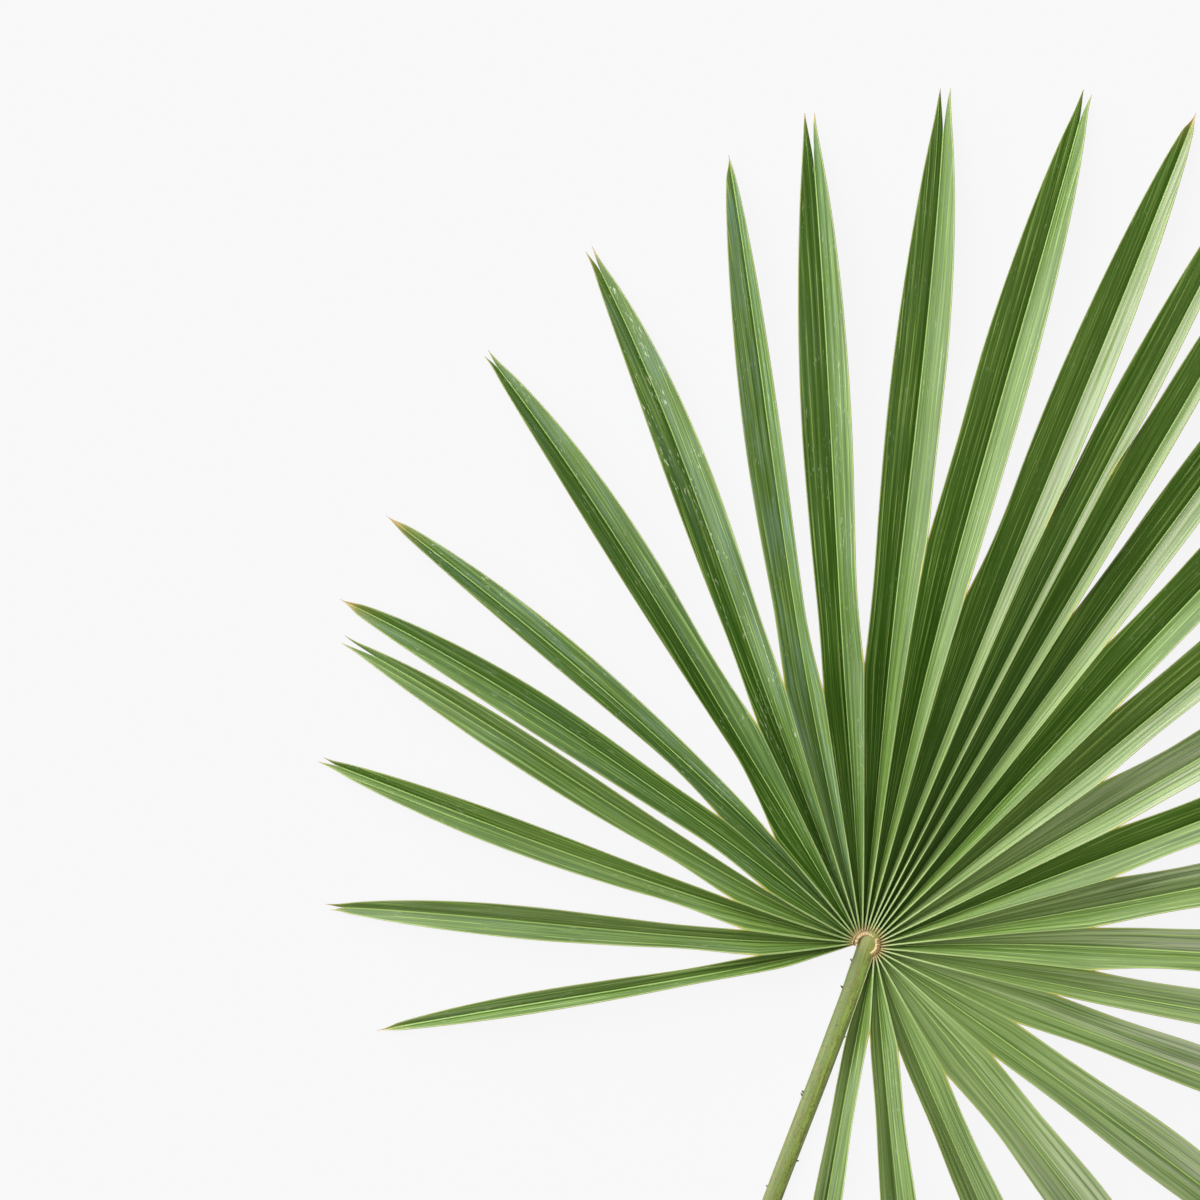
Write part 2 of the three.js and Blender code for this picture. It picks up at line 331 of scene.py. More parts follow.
STOUT_RIDGE = (40 * MM, 95 * MM)  # ridges thin out between these distances from the hub
THIN_RIDGE = 0.35  # to this much of their height and width near it
NOTCHES = (14, 44)  # millimetres, for the segments that SPLIT_TIPS doesn't name
SINGLE_TIPS = (1, 5, 6, 9, 13)
SPLIT_TIPS = {  # segment: length of the notch, distance between its two points, in millimetres
    7: (16, 4.4), 8: (20, 5.4), 10: (42, 6.8), 11: (36, 7.0), 12: (26, 6.4),
}
PAINTED_HALF_LIGHT = {  # segment: painted light on its left and right halves, for how each faces the window; above 0 a paler painted sheen, below 0 a deeper painted shade
    1: (-0.1, 0.2), 2: (-0.15, 0.2), 3: (0.1, 0.0), 4: (0.1, 0.1), 5: (-0.6, -0.6), 6: (-0.6, -0.3),
    7: (-0.9, -0.6), 8: (-1, -0.4), 9: (-0.2, 0), 10: (-0.9, -0.35), 11: (-1, -0.1), 12: (-1, 0.1),
    13: (-0.9, 0.45), 14: (-0.9, 0.5), 15: (-0.9, 0.4), 16: (-0.9, 0.4), 17: (-0.8, -0.05), 18: (-0.1, 0.5),
    19: (0.6, 0.5), 20: (-0.5, 0.15), 21: (0.55, 0.2), 22: (0.8, 0.2), 23: (0.5, 0.4), 24: (1.2, 0.4),
    25: (0.5, 0.4), 26: (0.7, 0.6), 27: (0.4, 0.4), 28: (0.1, 0.4), 29: (0, 0.4),
}
BLOOM = {2: 0.1, 3: 0.1, 4: 0.2, 5: 0.5, 6: 0.7, 7: 0.45, 8: 0.6, 9: 0.7, 10: 0.3, 11: 0.15}
DRY_TIPS = {1: 12, 5: 17, 6: 19, 7: 8, 8: 12, 13: 14}  # millimetres; the others are dry for less
WEAR = {5: 0.35, 6: 0.8, 7: 0.5, 8: 1.0, 9: 0.45, 10: 0.4}


def stations_of(lines):
    """Distances from the hub where a segment has a section, closer at its ends and at its splits."""
    start, end = lines.places[1][0], lines.places[1][-1]
    t = np.linspace(0, 1, STATIONS)
    even = start + (end - start) * (t - CROWDING * np.sin(2 * np.pi * t))
    splits = [lines.split(side) for side in (0, 2) if lines.corner[side]]
    kept = [d for d in even if all(abs(d - s) > CLEAR_OF_SPLIT for s in splits)]
    return np.array(sorted(kept + splits))


def shares_of(width):
    """Where a half has columns, from its midrib at 0 to its margin at 1, at every station."""
    width = np.maximum(width, 1e-6)[:, None]
    inner = CORD_STEPS * np.minimum(1, BAND_SHARE * width / CORD_STEPS[-1]) / width
    outer = 1 - BEAD_STEPS * np.minimum(1, BAND_SHARE * width / BEAD_STEPS[0]) / width
    t = np.linspace(0, 1, INNER_COLUMNS + 2)[1:-1]
    between = inner[:, -1:] + (outer[:, :1] - inner[:, -1:]) * t
    return np.hstack([inner, between, outer])


def tips_of(number, dice):
    """The notch and the spread of a segment's tip; a single tip has none."""
    if number in SINGLE_TIPS:
        return 0, 0
    if number in SPLIT_TIPS:
        return tuple(value * MM for value in SPLIT_TIPS[number])
    notch = dice.uniform(*NOTCHES)
    return notch * MM, (2.4 + 0.1 * notch) * MM


class Half:
    """One half of a segment: a grid of upper and lower points from the midrib to the margin."""

    def __init__(self, settings, lines, far, side, tip, dice):
        middle = lines.along(1, far)
        margin = lines.along(side, far)
        end = far[-1]
        split = lines.split(side)
        notch, spread = tip
        left = 1 if side == 0 else -1

        freed = smooth(far, split, split + WAVE_FADES[0]) * smooth(end - far, 0, WAVE_FADES[1])
        for _ in range(3):
            wave = dice.uniform(*WAVE_LENGTHS) * MM
            phase = dice.uniform(0, 2 * math.pi)
            margin[:, 2] += WAVE * freed * np.sin(2 * np.pi * far / wave + phase)

        across = margin - middle
        width = np.linalg.norm(across, axis=1)
        across = unit(across)
        inside = np.zeros_like(width)
        if notch:
            full = end + notch / 4  # the notch would be fully open here, a little past the tip
            open_ = smooth(far, end - notch, full) / smooth(end, end - notch, full)
            inside = (spread / 2 - POINT) * open_ ** 1.1
            width = width + (spread / 2 - width[-1]) * open_ ** 1.5
        else:
            width = width * (1 - 0.9 * smooth(far, end - TAPER, end) ** 1.4)

        forward = unit(np.gradient(middle, axis=0))
        upward = unit(left * np.cross(forward, across))
        self.upward = upward
        self.middle, self.across, self.width, self.inside = middle, across, width, inside
        self.share = shares_of(width - inside)
        self.far, self.split, self.joined = far, split, lines.corner[side] is not None
        self.settings = settings
        self.phase = dice.uniform(0, 2 * math.pi)

    def build(self, spine):
        """Upper and lower points, given the upright direction of the midrib that both halves share."""
        s, share = self.settings, self.share
        span = (self.width - self.inside)[:, None]
        out = self.inside[:, None] + share * span  # distance from the midrib's line
        edge = (1 - share) * span
        tight = np.minimum(1, self.width[:, None] / NARROW)
        widest = int(np.argmax(self.width))
        scale = np.where(np.arange(len(self.far)) < widest, self.width[widest] / self.width, 1)
        self.vein = out * scale[:, None]

        joined = np.zeros((len(self.far), 1))
        if self.joined:
            joined[:, 0] = 1 - smooth(self.far, self.split - PARTING[0], self.split + PARTING[1])
        arch = ARCH * span * 4 * share * (1 - share)
        cord = s.cord * tight * np.exp(-(out / CORD_WIDTH) ** 2)
        stout = 1 - (1 - THIN_RIDGE) * smooth(self.far, *STOUT_RIDGE)[:, None]
        ridge = joined * s.ridge * stout * tight
        ridge = ridge * np.exp(-(edge / (RIDGE_WIDTH * stout * np.maximum(tight, 0.3))) ** 2)
        bead = (1 - joined) * s.bead * tight * np.exp(-(edge / BEAD_WIDTH) ** 2)
        window = smooth(edge, 0.3 * MM, 2.2 * MM) * smooth(out, 0.6 * MM, 2.4 * MM)
        swell = np.cos(2 * np.pi * self.vein / s.vein_pitch + self.phase)
        vein = s.corrugation * np.minimum(1, span / (15 * MM)) * window * swell
        lift = arch + cord + ridge + bead + vein

        turn = smooth(out, 0, 1.3 * MM)[..., None]
        upright = unit(spine[:, None, :] * (1 - turn) + self.upward[:, None, :] * turn)
        base = self.middle[:, None, :] + self.across[:, None, :] * out[..., None]
        upper = base + upright * lift[..., None]
        thick = s.thickness * (0.45 + 0.55 * tight)
        height = np.maximum(self.middle[:, 2:3], 0)
        keel = (s.keel + 0.05 * height) * tight * np.exp(-(out / KEEL_WIDTH) ** 2)
        lower = base + upright * (arch + 0.5 * vein - thick - keel)[..., None]
        lower[..., 2] = np.maximum(lower[..., 2], 0)
        self.upper, self.lower, self.out, self.edge, self.joined_share = upper, lower, out, edge, joined


def weave(left, right, notch_row):
    """One closed surface from two halves. They share the midrib's points up to the notch."""
    rows, columns = left.share.shape
    points, numbers = [], {}
    for name, half in (("left", left), ("right", right)):
        for level in ("upper", "lower"):
            grid = np.arange(rows * columns).reshape(rows, columns) + sum(map(len, points))
            points.append(getattr(half, level).reshape(-1, 3))
            numbers[name, level] = grid
    for level in ("upper", "lower"):
        shared = slice(0, notch_row + 1)
        numbers["right", level][shared, 0] = numbers["left", level][shared, 0]

    faces = []

    def sheet(grid, turned):
        a, b, c, d = grid[:-1, :-1], grid[:-1, 1:], grid[1:, 1:], grid[1:, :-1]
        quads = np.stack([a, b, c, d], axis=-1).reshape(-1, 4)
        faces.append(quads[:, ::-1] if turned else quads)

    for name, flip in (("left", True), ("right", False)):
        upper, lower = numbers[name, "upper"], numbers[name, "lower"]
        sheet(upper, flip)
        sheet(lower, not flip)
        wall = np.stack([upper, lower], axis=-1)
        sheet(wall[:, -1, :], flip)  # the margin
        if notch_row < rows - 1:
            sheet(wall[notch_row:, 0, :], not flip)  # the notch's side
        sheet(wall[0], not flip)  # the end at the rim
        sheet(wall[-1], flip)  # the tip
    return np.vstack(points), np.vstack(faces)


def drop_loose(points, faces, attributes):
    """Leaves out the points that no face uses."""
    used, renumbered = np.unique(faces, return_inverse=True)
    return points[used], renumbered.reshape(faces.shape), {k: v[used] for k, v in attributes.items()}


def build_segment(number, lines, settings, material):
    """One folded segment of the blade, in place of its node."""
    dice = random.Random(SEED + number)
    tip = tips_of(number, dice)
    far = stations_of(lines)
    left = Half(settings, lines, far, 0, tip, dice)
    right = Half(settings, lines, far, 2, tip, dice)
    spine = unit(left.upward + right.upward)
    notch_row = len(far) - 1
    if tip[0]:
        notch_row = int(np.searchsorted(far, far[-1] - tip[0]))
        ahead = dice.uniform(-3.2, 3.2) * MM
        for half, sign in ((left, 1), (right, -1)):
            behind = max(0, sign * ahead) * smooth(far, far[notch_row], far[-1])
            half.middle = half.middle - unit(np.gradient(half.middle, axis=0)) * behind[:, None]
    for half in (left, right):
        half.build(spine)
    points, faces = weave(left, right, notch_row)

    def spread(values_left, values_right):
        """One value for each point, in the order that the surface was woven in."""
        return np.concatenate([values_left.ravel()] * 2 + [values_right.ravel()] * 2)

    rows, columns = left.share.shape
    grid = np.ones((rows, columns))
    # Each half's painted light: a paler painted sheen above 0, a deeper painted shade below 0.
    half_lights = PAINTED_HALF_LIGHT[number]
    reach = np.repeat(far[:, None], columns, axis=1)
    under = np.concatenate([np.zeros(rows * columns), np.ones(rows * columns)] * 2)
    attributes = {
        "across": spread(left.out, -right.out) / MM,
        "edge": spread(left.edge, right.edge) / MM,
        "vein": spread(left.vein, -right.vein) / MM,
        "reach": spread(reach, reach) / MM,
        "from_tip": spread(far[-1] - reach, far[-1] - reach) / MM,
        "joined": spread(left.joined_share * grid, right.joined_share * grid),
        "painted_half_light": spread(half_lights[0] * grid, half_lights[1] * grid),
        "under": under,
        "seed": np.full(len(points), dice.random()),
        "bloom": np.full(len(points), BLOOM.get(number, 0.02 + 0.06 * dice.random())),
        "dry": np.full(len(points), DRY_TIPS.get(number, dice.uniform(6, 10))),
        "wear": np.full(len(points), WEAR.get(number, 0.08 + 0.25 * dice.random())),
    }
    points, faces, attributes = drop_loose(points, faces, attributes)
    name = f"lamina_{number:02d}"
    return new_piece(name, points, faces, [material], SEGMENT_NODES[number - 1], attributes)


def lamina_material(s):
    """Living palm lamina under a waxed cuticle: satin, pale on its cords, with painted shade in the folds
    and on the halves turned from the window, and painted sheen on the halves facing it.

    Its lengthwise fibres are drawn a little coarser than the real 0.4 mm ones, so that they show.
    """
    material, put = new_material("Palm_lamina_waxed_cuticle")
    keys = ("across", "edge", "vein", "reach", "from_tip", "joined", "painted_half_light", "under", "seed", "bloom",
            "wear", "dry")
    a = {key: put("ShaderNodeAttribute", out="Fac", attribute_name=key) for key in keys}
    a["rib"] = put("ShaderNodeMath", {0: a["across"]}, operation="ABSOLUTE")

    streaks = {  # millimetres across the segment, millimetres along it, salt, detail
        "fine": (1.1, 150, 3, 2), "broad": (7, 85, 11, 2), "band": (2.6, 170, 17, 2),
        "broken": (3, 60, 23, 2), "cloud": (4, 42, 41, 3),
        "scratch": (1.0, 5.5, 71, 3), "patch": (9, 26, 77, 2), "pale_streak": (3.4, 130, 53, 3),
    }
    for key, (wide, long, salt, detail) in streaks.items():
        x = put("ShaderNodeMath", {0: a["vein"], 1: 1 / wide}, operation="MULTIPLY")
        y = put("ShaderNodeMath", {0: a["reach"], 1: 1 / long}, operation="MULTIPLY")
        z = put("ShaderNodeMath", {0: a["seed"], 1: 60.0, 2: salt}, operation="MULTIPLY_ADD")
        place = put("ShaderNodeCombineXYZ", {0: x, 1: y, 2: z})
        noise = {"Vector": place, "Scale": 1.0, "Detail": detail, "Roughness": 0.55}
        a[key] = put("ShaderNodeTexNoise", noise)

    # Veins stray a little. Cords are wide near the hub and thin farther out. Dry tips end raggedly.
    a["strayed"] = put("ShaderNodeMath", {0: a["broad"], 1: 0.9, 2: a["vein"]}, operation="MULTIPLY_ADD")
    a["to_vein"] = put("ShaderNodeMath", {0: a["strayed"], 1: s.vein_pitch / MM / 2}, operation="PINGPONG")
    fibre_half = s.fibre_pitch / MM / 2
    a["to_fibre"] = put("ShaderNodeMath", {0: a["vein"], 1: fibre_half}, operation="PINGPONG")
    a["cord"] = put("ShaderNodeMapRange", {0: a["reach"], 1: 40, 2: 95, 3: 0.95, 4: 0.34})
    a["of_cord"] = put("ShaderNodeMath", {0: a["edge"], 1: a["cord"]}, operation="DIVIDE")
    a["ragged"] = put("ShaderNodeMath", {0: a["fine"], 1: 6.0, 2: a["from_tip"]}, operation="MULTIPLY_ADD")
    a["of_dry"] = put("ShaderNodeMath", {0: a["ragged"], 1: a["dry"]}, operation="DIVIDE")
    a["still_free"] = put("ShaderNodeMath", {0: 1.0, 1: a["joined"]}, operation="SUBTRACT")
    a["half_joined"] = put("ShaderNodeMath", {0: a["joined"], 1: a["still_free"]}, operation="MULTIPLY")
    a["parting"] = put("ShaderNodeMath", {0: a["half_joined"], 1: 3.6}, operation="MULTIPLY")
    a["deeper"] = put("ShaderNodeMath", {0: a["painted_half_light"], 1: -1.0}, operation="MULTIPLY")

    ranges = {  # mask: the value it follows, where the value starts and ends, and the mask there
        "light_band": (a["broad"], 0.35, 0.75, 0.0, 0.4),
        "dark_band": (a["band"], 0.58, 0.36, 0.0, 0.5),
        "light_streak": (a["fine"], 0.5, 0.72, 0.0, 0.5),
        "dark_streak": (a["fine"], 0.5, 0.3, 0.0, 0.6),
        # These four spread the painted shade and the painted sheen along a half and break them into bands.
        "dark_inside": (a["reach"], 170, 400, 1.0, 0.45),
        "pale_outside": (a["reach"], 180, 320, 0.75, 1.0),
        "pale_far": (a["reach"], 90, 280, 0.1, 1.0),
        "pale_band": (a["pale_streak"], 0.36, 0.6, 0.5, 1.25),
        "split_line": (a["edge"], 0.4, 1.3, 0.9, 0.0),
        # These three read each half's painted light: painted sheen where it is above 0, painted shade where
        # it is below.
        "not_pale": (a["painted_half_light"], -0.4, 0.2, 1.0, 0.3),
        "deep_half": (a["deeper"], 0.0, 1.0, 0.0, 1.0),
        "pale_half": (a["painted_half_light"], 0.0, 1.0, 0.0, 1.0),
        "vein_line": (a["to_vein"], 0.14, 0.46, 1.0, 0.0),
        "vein_broken": (a["broken"], 0.42, 0.62, 0.04, 0.7),
        "fibre_line": (a["to_fibre"], 0.0, fibre_half, 1.0, 0.0),
        "fibre_broken": (a["fine"], 0.35, 0.75, 0.0, 0.25),
        # Painted shade in the fold beside each midrib, weaker on the halves with painted sheen.
        "valley": (a["rib"], 0.5, 3.0, 0.7, 0.0),
        "bloom_cloud": (a["cloud"], 0.38, 0.68, 0.05, 1.0),
        "near_hub": (a["reach"], 16, 40, 0.3, 0.0),
        "below": (a["under"], 0.4, 0.6, 0.0, 1.0),
        "scratched": (a["scratch"], 0.6, 0.68, 0.0, 1.0),
        "scuffed": (a["patch"], 0.48, 0.6, 0.0, 0.9),
        "rib_line": (a["rib"], 0.25, 0.6, 0.85, 0.0),
        "margin_line": (a["edge"], 0.3, 0.85, 0.9, 0.0),
        "margin_brown": (a["edge"], 0.0, 0.12, 0.5, 0.0),
        "free": (a["joined"], 0.0, 1.0, 1.0, 0.3),
        "ridge_line": (a["of_cord"], 0.45, 1.0, 1.0, 0.0),
        "ridge_far": (a["reach"], 50, 120, 1.0, 0.7),
        "at_rim": (a["reach"], 9, 16, 0.8, 0.0),
        "yellowed": (a["of_dry"], 0.4, 2.4, 0.6, 0.0),
        "dead": (a["of_dry"], 0.4, 1.1, 1.0, 0.0),
    }
    for key, (value, *span) in ranges.items():
        settings = {0: value, **dict(enumerate(span, start=1))}
        a[key] = put("ShaderNodeMapRange", settings, interpolation_type="SMOOTHSTEP")

    products = {  # mask: the two masks it is the product of
        "vein_seen": ("vein_line", "vein_broken"), "fibre_seen": ("fibre_line", "fibre_broken"),
        # The deep half mask is painted shade, the pale ones are painted sheen, and the valley one is painted
        # shade in the folds.
        "waxed": ("bloom", "bloom_cloud"), "deep": ("deep_half", "dark_inside"),
        "pale": ("pale_half", "pale_outside"), "painted_sheen": ("pale", "pale_band"),
        "painted_far_sheen": ("painted_sheen", "pale_far"), "split_yellow": ("parting", "split_line"),
        "scuff": ("scratched", "scuffed"), "scuff_seen": ("scuff", "wear"),
        "margin_seen": ("margin_line", "free"), "ridge": ("ridge_line", "ridge_far"),
        "ridge_seen": ("ridge", "joined"), "painted_fold_shade": ("valley", "not_pale"),
    }
    for key, (first, second) in products.items():
        a[key] = put("ShaderNodeMath", {0: a[first], 1: a[second]}, operation="MULTIPLY")

    layers = (  # each is laid over those before it
        ("light_band", linear("#6a8440")),
        ("waxed", tuple(s.bloom)),
        # Painted sheen: pale grey-green on the halves that face the window, greyer farther out.
        ("painted_sheen", linear("#a3b57f")),
        ("painted_far_sheen", linear("#a6a39c")),
        # Painted shade: deep green on the halves turned from the window.
        ("deep", tuple(s.painted_shade)),
        ("dark_band", linear("#36580a")),
        ("dark_streak", linear("#2c4d04")),
        ("light_streak", linear("#7c9a46")),
        ("vein_seen", tuple(s.vein)),
        ("fibre_seen", linear("#66863f")),
        # Painted shade in the folds beside the midribs.
        ("painted_fold_shade", tuple(s.painted_shade)),
        ("near_hub", linear("#2a4c02")),
        ("below", tuple(s.underside)),
        ("scuff_seen", linear("#b4bf9f")),
        ("rib_line", tuple(s.vein)),
        ("margin_seen", linear("#a4b06c")),
        ("margin_brown", linear("#6a6340")),
        ("ridge_seen", tuple(s.ridge_colour)),
        ("split_yellow", linear("#aba650")),
        ("at_rim", linear("#977f50")),
        ("yellowed", linear("#7d7e3c")),
        ("dead", tuple(s.dry)),
    )
    body = tuple(s.fresh)
    for mask, colour in layers:
        body = put("ShaderNodeMix", {0: a[mask], 6: body, 7: colour}, out=2, data_type="RGBA")

    rough = put("ShaderNodeMath", {0: a["fine"], 1: 0.14, 2: 0.3}, operation="MULTIPLY_ADD")
    rough = put("ShaderNodeMath", {0: a["bloom"], 1: 0.14, 2: rough}, operation="MULTIPLY_ADD")
    relief = put("ShaderNodeMath", {0: a["fibre_line"], 1: 0.6, 2: a["fine"]}, operation="MULTIPLY_ADD")
    bump = put("ShaderNodeBump", {"Height": relief, "Strength": 0.55, "Distance": 0.09 * MM})
    shader = put("ShaderNodeBsdfPrincipled", {
        "Base Color": body, "Roughness": rough, "IOR": 1.45, "Specular IOR Level": 0.45, "Normal": bump,
    })
    put("ShaderNodeOutputMaterial", {"Surface": shader})
    return material


# ---- The petiole ----

PETIOLE_ROWS = 170
PETIOLE_SIDES = 48
LEFT_TEETH = (13, 32, 104, 107, 171, 219, 262, 301)  # millimetres below the hub
RIGHT_TEETH = (62, 148, 196, 247, 283, 322)
FIBRES = 46
FIBRE_TIPS = (0.14, 0.24)  # radii in millimetres
ROW_CROWDING = 0.135 / math.pi  # how much closer the rings stand at the petiole's ends
RIB_COUNT = 5
RIB_ROUNDS = (5, 15)  # each rib pattern goes up and down this often round the petiole
RIB_DRIFT = 0.7  # and strays sideways by this part of a turn as it runs down
BESIDE = 0.5 * MM  # the shaft rests this far over, against the last fold
BESIDE_FROM = (8 * MM, 30 * MM)  # below the hub, where it starts to
BESIDE_TO = (90 * MM, 170 * MM)  # and where it ends
HEAD_LEAN = np.array([2.0, 5.2, 2.3]) * MM  # the head bends over towards the blade
HEAD_BEND = (-16 * MM, 1 * MM)  # beyond the hub, where the bend starts and is complete
CUT_SHARES = [1 - 0.1 * k ** 1.5 for k in (1, 2, 3)]  # rings of the cut end, over the petiole's width
CUT_DEPTHS = (-0.05, 0.12, 0.2)  # millimetres that they lie behind the cut; the pith is dished
TOOTH_WIDTH = 0.95 * MM  # radius of a tooth's foot
TOOTH_FOOT = 0.6 * MM  # how deep it sits in the margin


def closed_ring(points, count):
    """A smooth closed curve through a section's points, sampled evenly."""
    wrapped = np.vstack([points[-2:], points, points[:3]])
    places = np.concatenate([[0], np.cumsum(np.linalg.norm(np.diff(wrapped, axis=0), axis=1))])
    start, end = places[2], places[2 + len(points)]
    return through(places, wrapped, start + (end - start) * np.arange(count) / count)


def sections_round(points, places, gap, centre_of):
    """Sections of a node, each sorted by angle round its own centre."""
    sections = []
    for part in bunches(places, gap):
        flat = centre_of(points[part])
        angle = np.arctan2(*(flat - (flat.min(0) + flat.max(0)) / 2).T)
        sections.append(np.array([points[part][same].mean(0) for same in bunches(angle, 0.02)]))
    return sections


def petiole_rings():
    """Fine closed rings of the petiole, from its cut end to its head."""
    points = corners_of("petiole")
    sections = sections_round(points, points[:, 1], 0.5 * MM, lambda part: part[:, ::2])
    coarse = np.array([closed_ring(section, PETIOLE_SIDES) for section in sections])
    places = coarse[:, 0, 1]
    t = np.linspace(0, 1, PETIOLE_ROWS)
    wanted = places[0] + (places[-1] - places[0]) * (t + ROW_CROWDING * np.sin(2 * np.pi * t))
    rings = through(places, coarse.reshape(len(places), -1), wanted).reshape(len(wanted), -1, 3)
    rings[..., 2] = np.maximum(rings[..., 2], 0)
    return rings


def build_petiole(settings, materials):
    """The petiole, with lengthwise ribs and a clean cut at its lower end."""
    dice = random.Random(SEED)
    rings = petiole_rings()
    low = rings.min(1)
    high = rings.max(1)
    centre = (low + high) / 2
    half = (high[:, 0] - low[:, 0]) / 2
    outward = rings - centre[:, None, :]
    outward[..., 1] = 0
    outward = unit(outward)
    turn = np.linspace(0, 2 * np.pi, PETIOLE_SIDES, endpoint=False)
    far = (HUB[1] - rings[:, 0, 1])[:, None]
    ribs = np.zeros((len(rings), PETIOLE_SIDES))
    for _ in range(RIB_COUNT):
        ribs += np.cos(dice.randint(*RIB_ROUNDS) * turn + dice.uniform(0, 6.28)
                       + RIB_DRIFT * np.sin(far / (dice.uniform(30, 90) * MM)))
    on_side = smooth(rings[..., 2], 0.2 * MM, 1.5 * MM)
    at_head = smooth(-far, *HEAD_BEND)
    rings = rings + at_head[..., None] * HEAD_LEAN
    beside = smooth(far, *BESIDE_FROM) * (1 - smooth(far, *BESIDE_TO))
    rings = rings + beside[..., None] * np.array([BESIDE, 0, 0])
    rings = rings + outward * (settings.rib * ribs / RIB_COUNT * on_side)[..., None]

    cut = rings[0]
    middle = centre[0]
    rounds = [middle + (cut - middle) * np.array([share, 1, share]) for share in CUT_SHARES]
    for depth, ring in zip(CUT_DEPTHS, rounds):
        ring[:, 1] = cut[:, 1] + depth * MM
    points = np.vstack([*reversed(rounds), *rings])
    total = len(rounds) + len(rings)
    faces = ring_faces(total, PETIOLE_SIDES)
    ends = [middle + np.array([0, CUT_DEPTHS[-1] * MM, 0]), centre[-1]]
    first, last = len(points), len(points) + 1
    points = np.vstack([points, ends])
    cap = [(first, (i + 1) % PETIOLE_SIDES, i) for i in range(PETIOLE_SIDES)]
    base = (total - 1) * PETIOLE_SIDES
    top = [(last, base + i, base + (i + 1) % PETIOLE_SIDES) for i in range(PETIOLE_SIDES)]
    ends_at = [*range(2 * PETIOLE_SIDES), *range(len(faces), len(faces) + PETIOLE_SIDES)]

    rows = np.clip(np.searchsorted(rings[:, 0, 1], points[:, 1]), 0, len(rings) - 1)
    side = (points[:, 0] - centre[rows, 0]) / half[rows]
    attributes = {
        "side": side,
        "below": (HUB[1] - points[:, 1]) / MM,
        "turn": np.concatenate([np.tile(turn / (2 * np.pi), total), [0, 0]]),
    }
    return new_piece("petiole_stalk", points, faces + cap + top, materials, "petiole", attributes,
                     ends_at)


def cone(base, tip, radius, rings=4, sides=8, bend=(0, 0, 0)):
    """A curved, tapering tooth from a point to another, as points and faces."""
    base, tip, bend = np.array(base), np.array(tip), np.array(bend)
    axis = unit(tip - base)
    aside = unit(np.cross(axis, [0.1, 0.2, 1.0]))
    above = np.cross(axis, aside)
    points = []
    for r in range(rings):
        t = r / rings
        centre = base + (tip - base) * t + bend * t * t
        size = radius * (1 - t) ** 0.8
        for i in range(sides):
            angle = 2 * math.pi * i / sides
            points.append(centre + size * (math.cos(angle) * aside + math.sin(angle) * above))
    points.append(tip + bend)
    faces = ring_faces(rings, sides)
    last = (rings - 1) * sides
    faces += [(last + i, last + (i + 1) % sides, len(points) - 1) for i in range(sides)]
    faces.append(tuple(reversed(range(sides))))
    return points, faces


def build_teeth(settings, material):
    """The small dark teeth on the petiole's two margins."""
    dice = random.Random(SEED + 1)
    rings = petiole_rings()
    points, faces = [], []
    for sign, places in ((-1, LEFT_TEETH), (1, RIGHT_TEETH)):
        for below in places:
            ring = rings[np.argmin(abs(HUB[1] - rings[:, 0, 1] - below * MM))]
            side = ring[np.argmax(sign * ring[:, 0])]
            length = settings.tooth * dice.uniform(0.8, 1.0)
            start = side - np.array([sign * TOOTH_FOOT, 0, 0])
            tip = start + np.array([sign * length, dice.uniform(0.3, 0.9) * MM, dice.uniform(0, 0.4) * MM])
            made, sides = cone(start, tip, TOOTH_WIDTH, bend=(0, 0.35 * MM, 0.1 * MM))
            faces += [tuple(i + len(points) for i in face) for face in sides]
            points += made
    return new_piece("petiole_teeth", points, faces, [material])


def build_fibres(material):
    """Ends of the fibre bundles that stand a little proud of the cut."""
    dice = random.Random(SEED + 2)
    ring = petiole_rings()[0]
    low, high = ring.min(0), ring.max(0)
    middle, half = (low + high) / 2, (high - low) / 2
    points, faces = [], []
    for index in range(FIBRES):
        angle = index * math.pi * (3 - math.sqrt(5))
        share = 0.8 * math.sqrt((index + 0.5) / FIBRES)
        x = middle[0] + half[0] * share * math.cos(angle)
        z = middle[2] + half[2] * share * math.sin(angle) * 0.9
        start = (x, ring[0, 1] + 0.4 * MM, z)
        tip = (x + dice.uniform(-0.1, 0.1) * MM, ring[0, 1] - dice.uniform(-0.02, 0.2) * MM, z)
        made, sides = cone(start, tip, dice.uniform(*FIBRE_TIPS) * MM, rings=5, sides=6)
        faces += [tuple(i + len(points) for i in face) for face in sides]
        points += made
    return new_piece("petiole_fibre_ends", points, faces, [material])


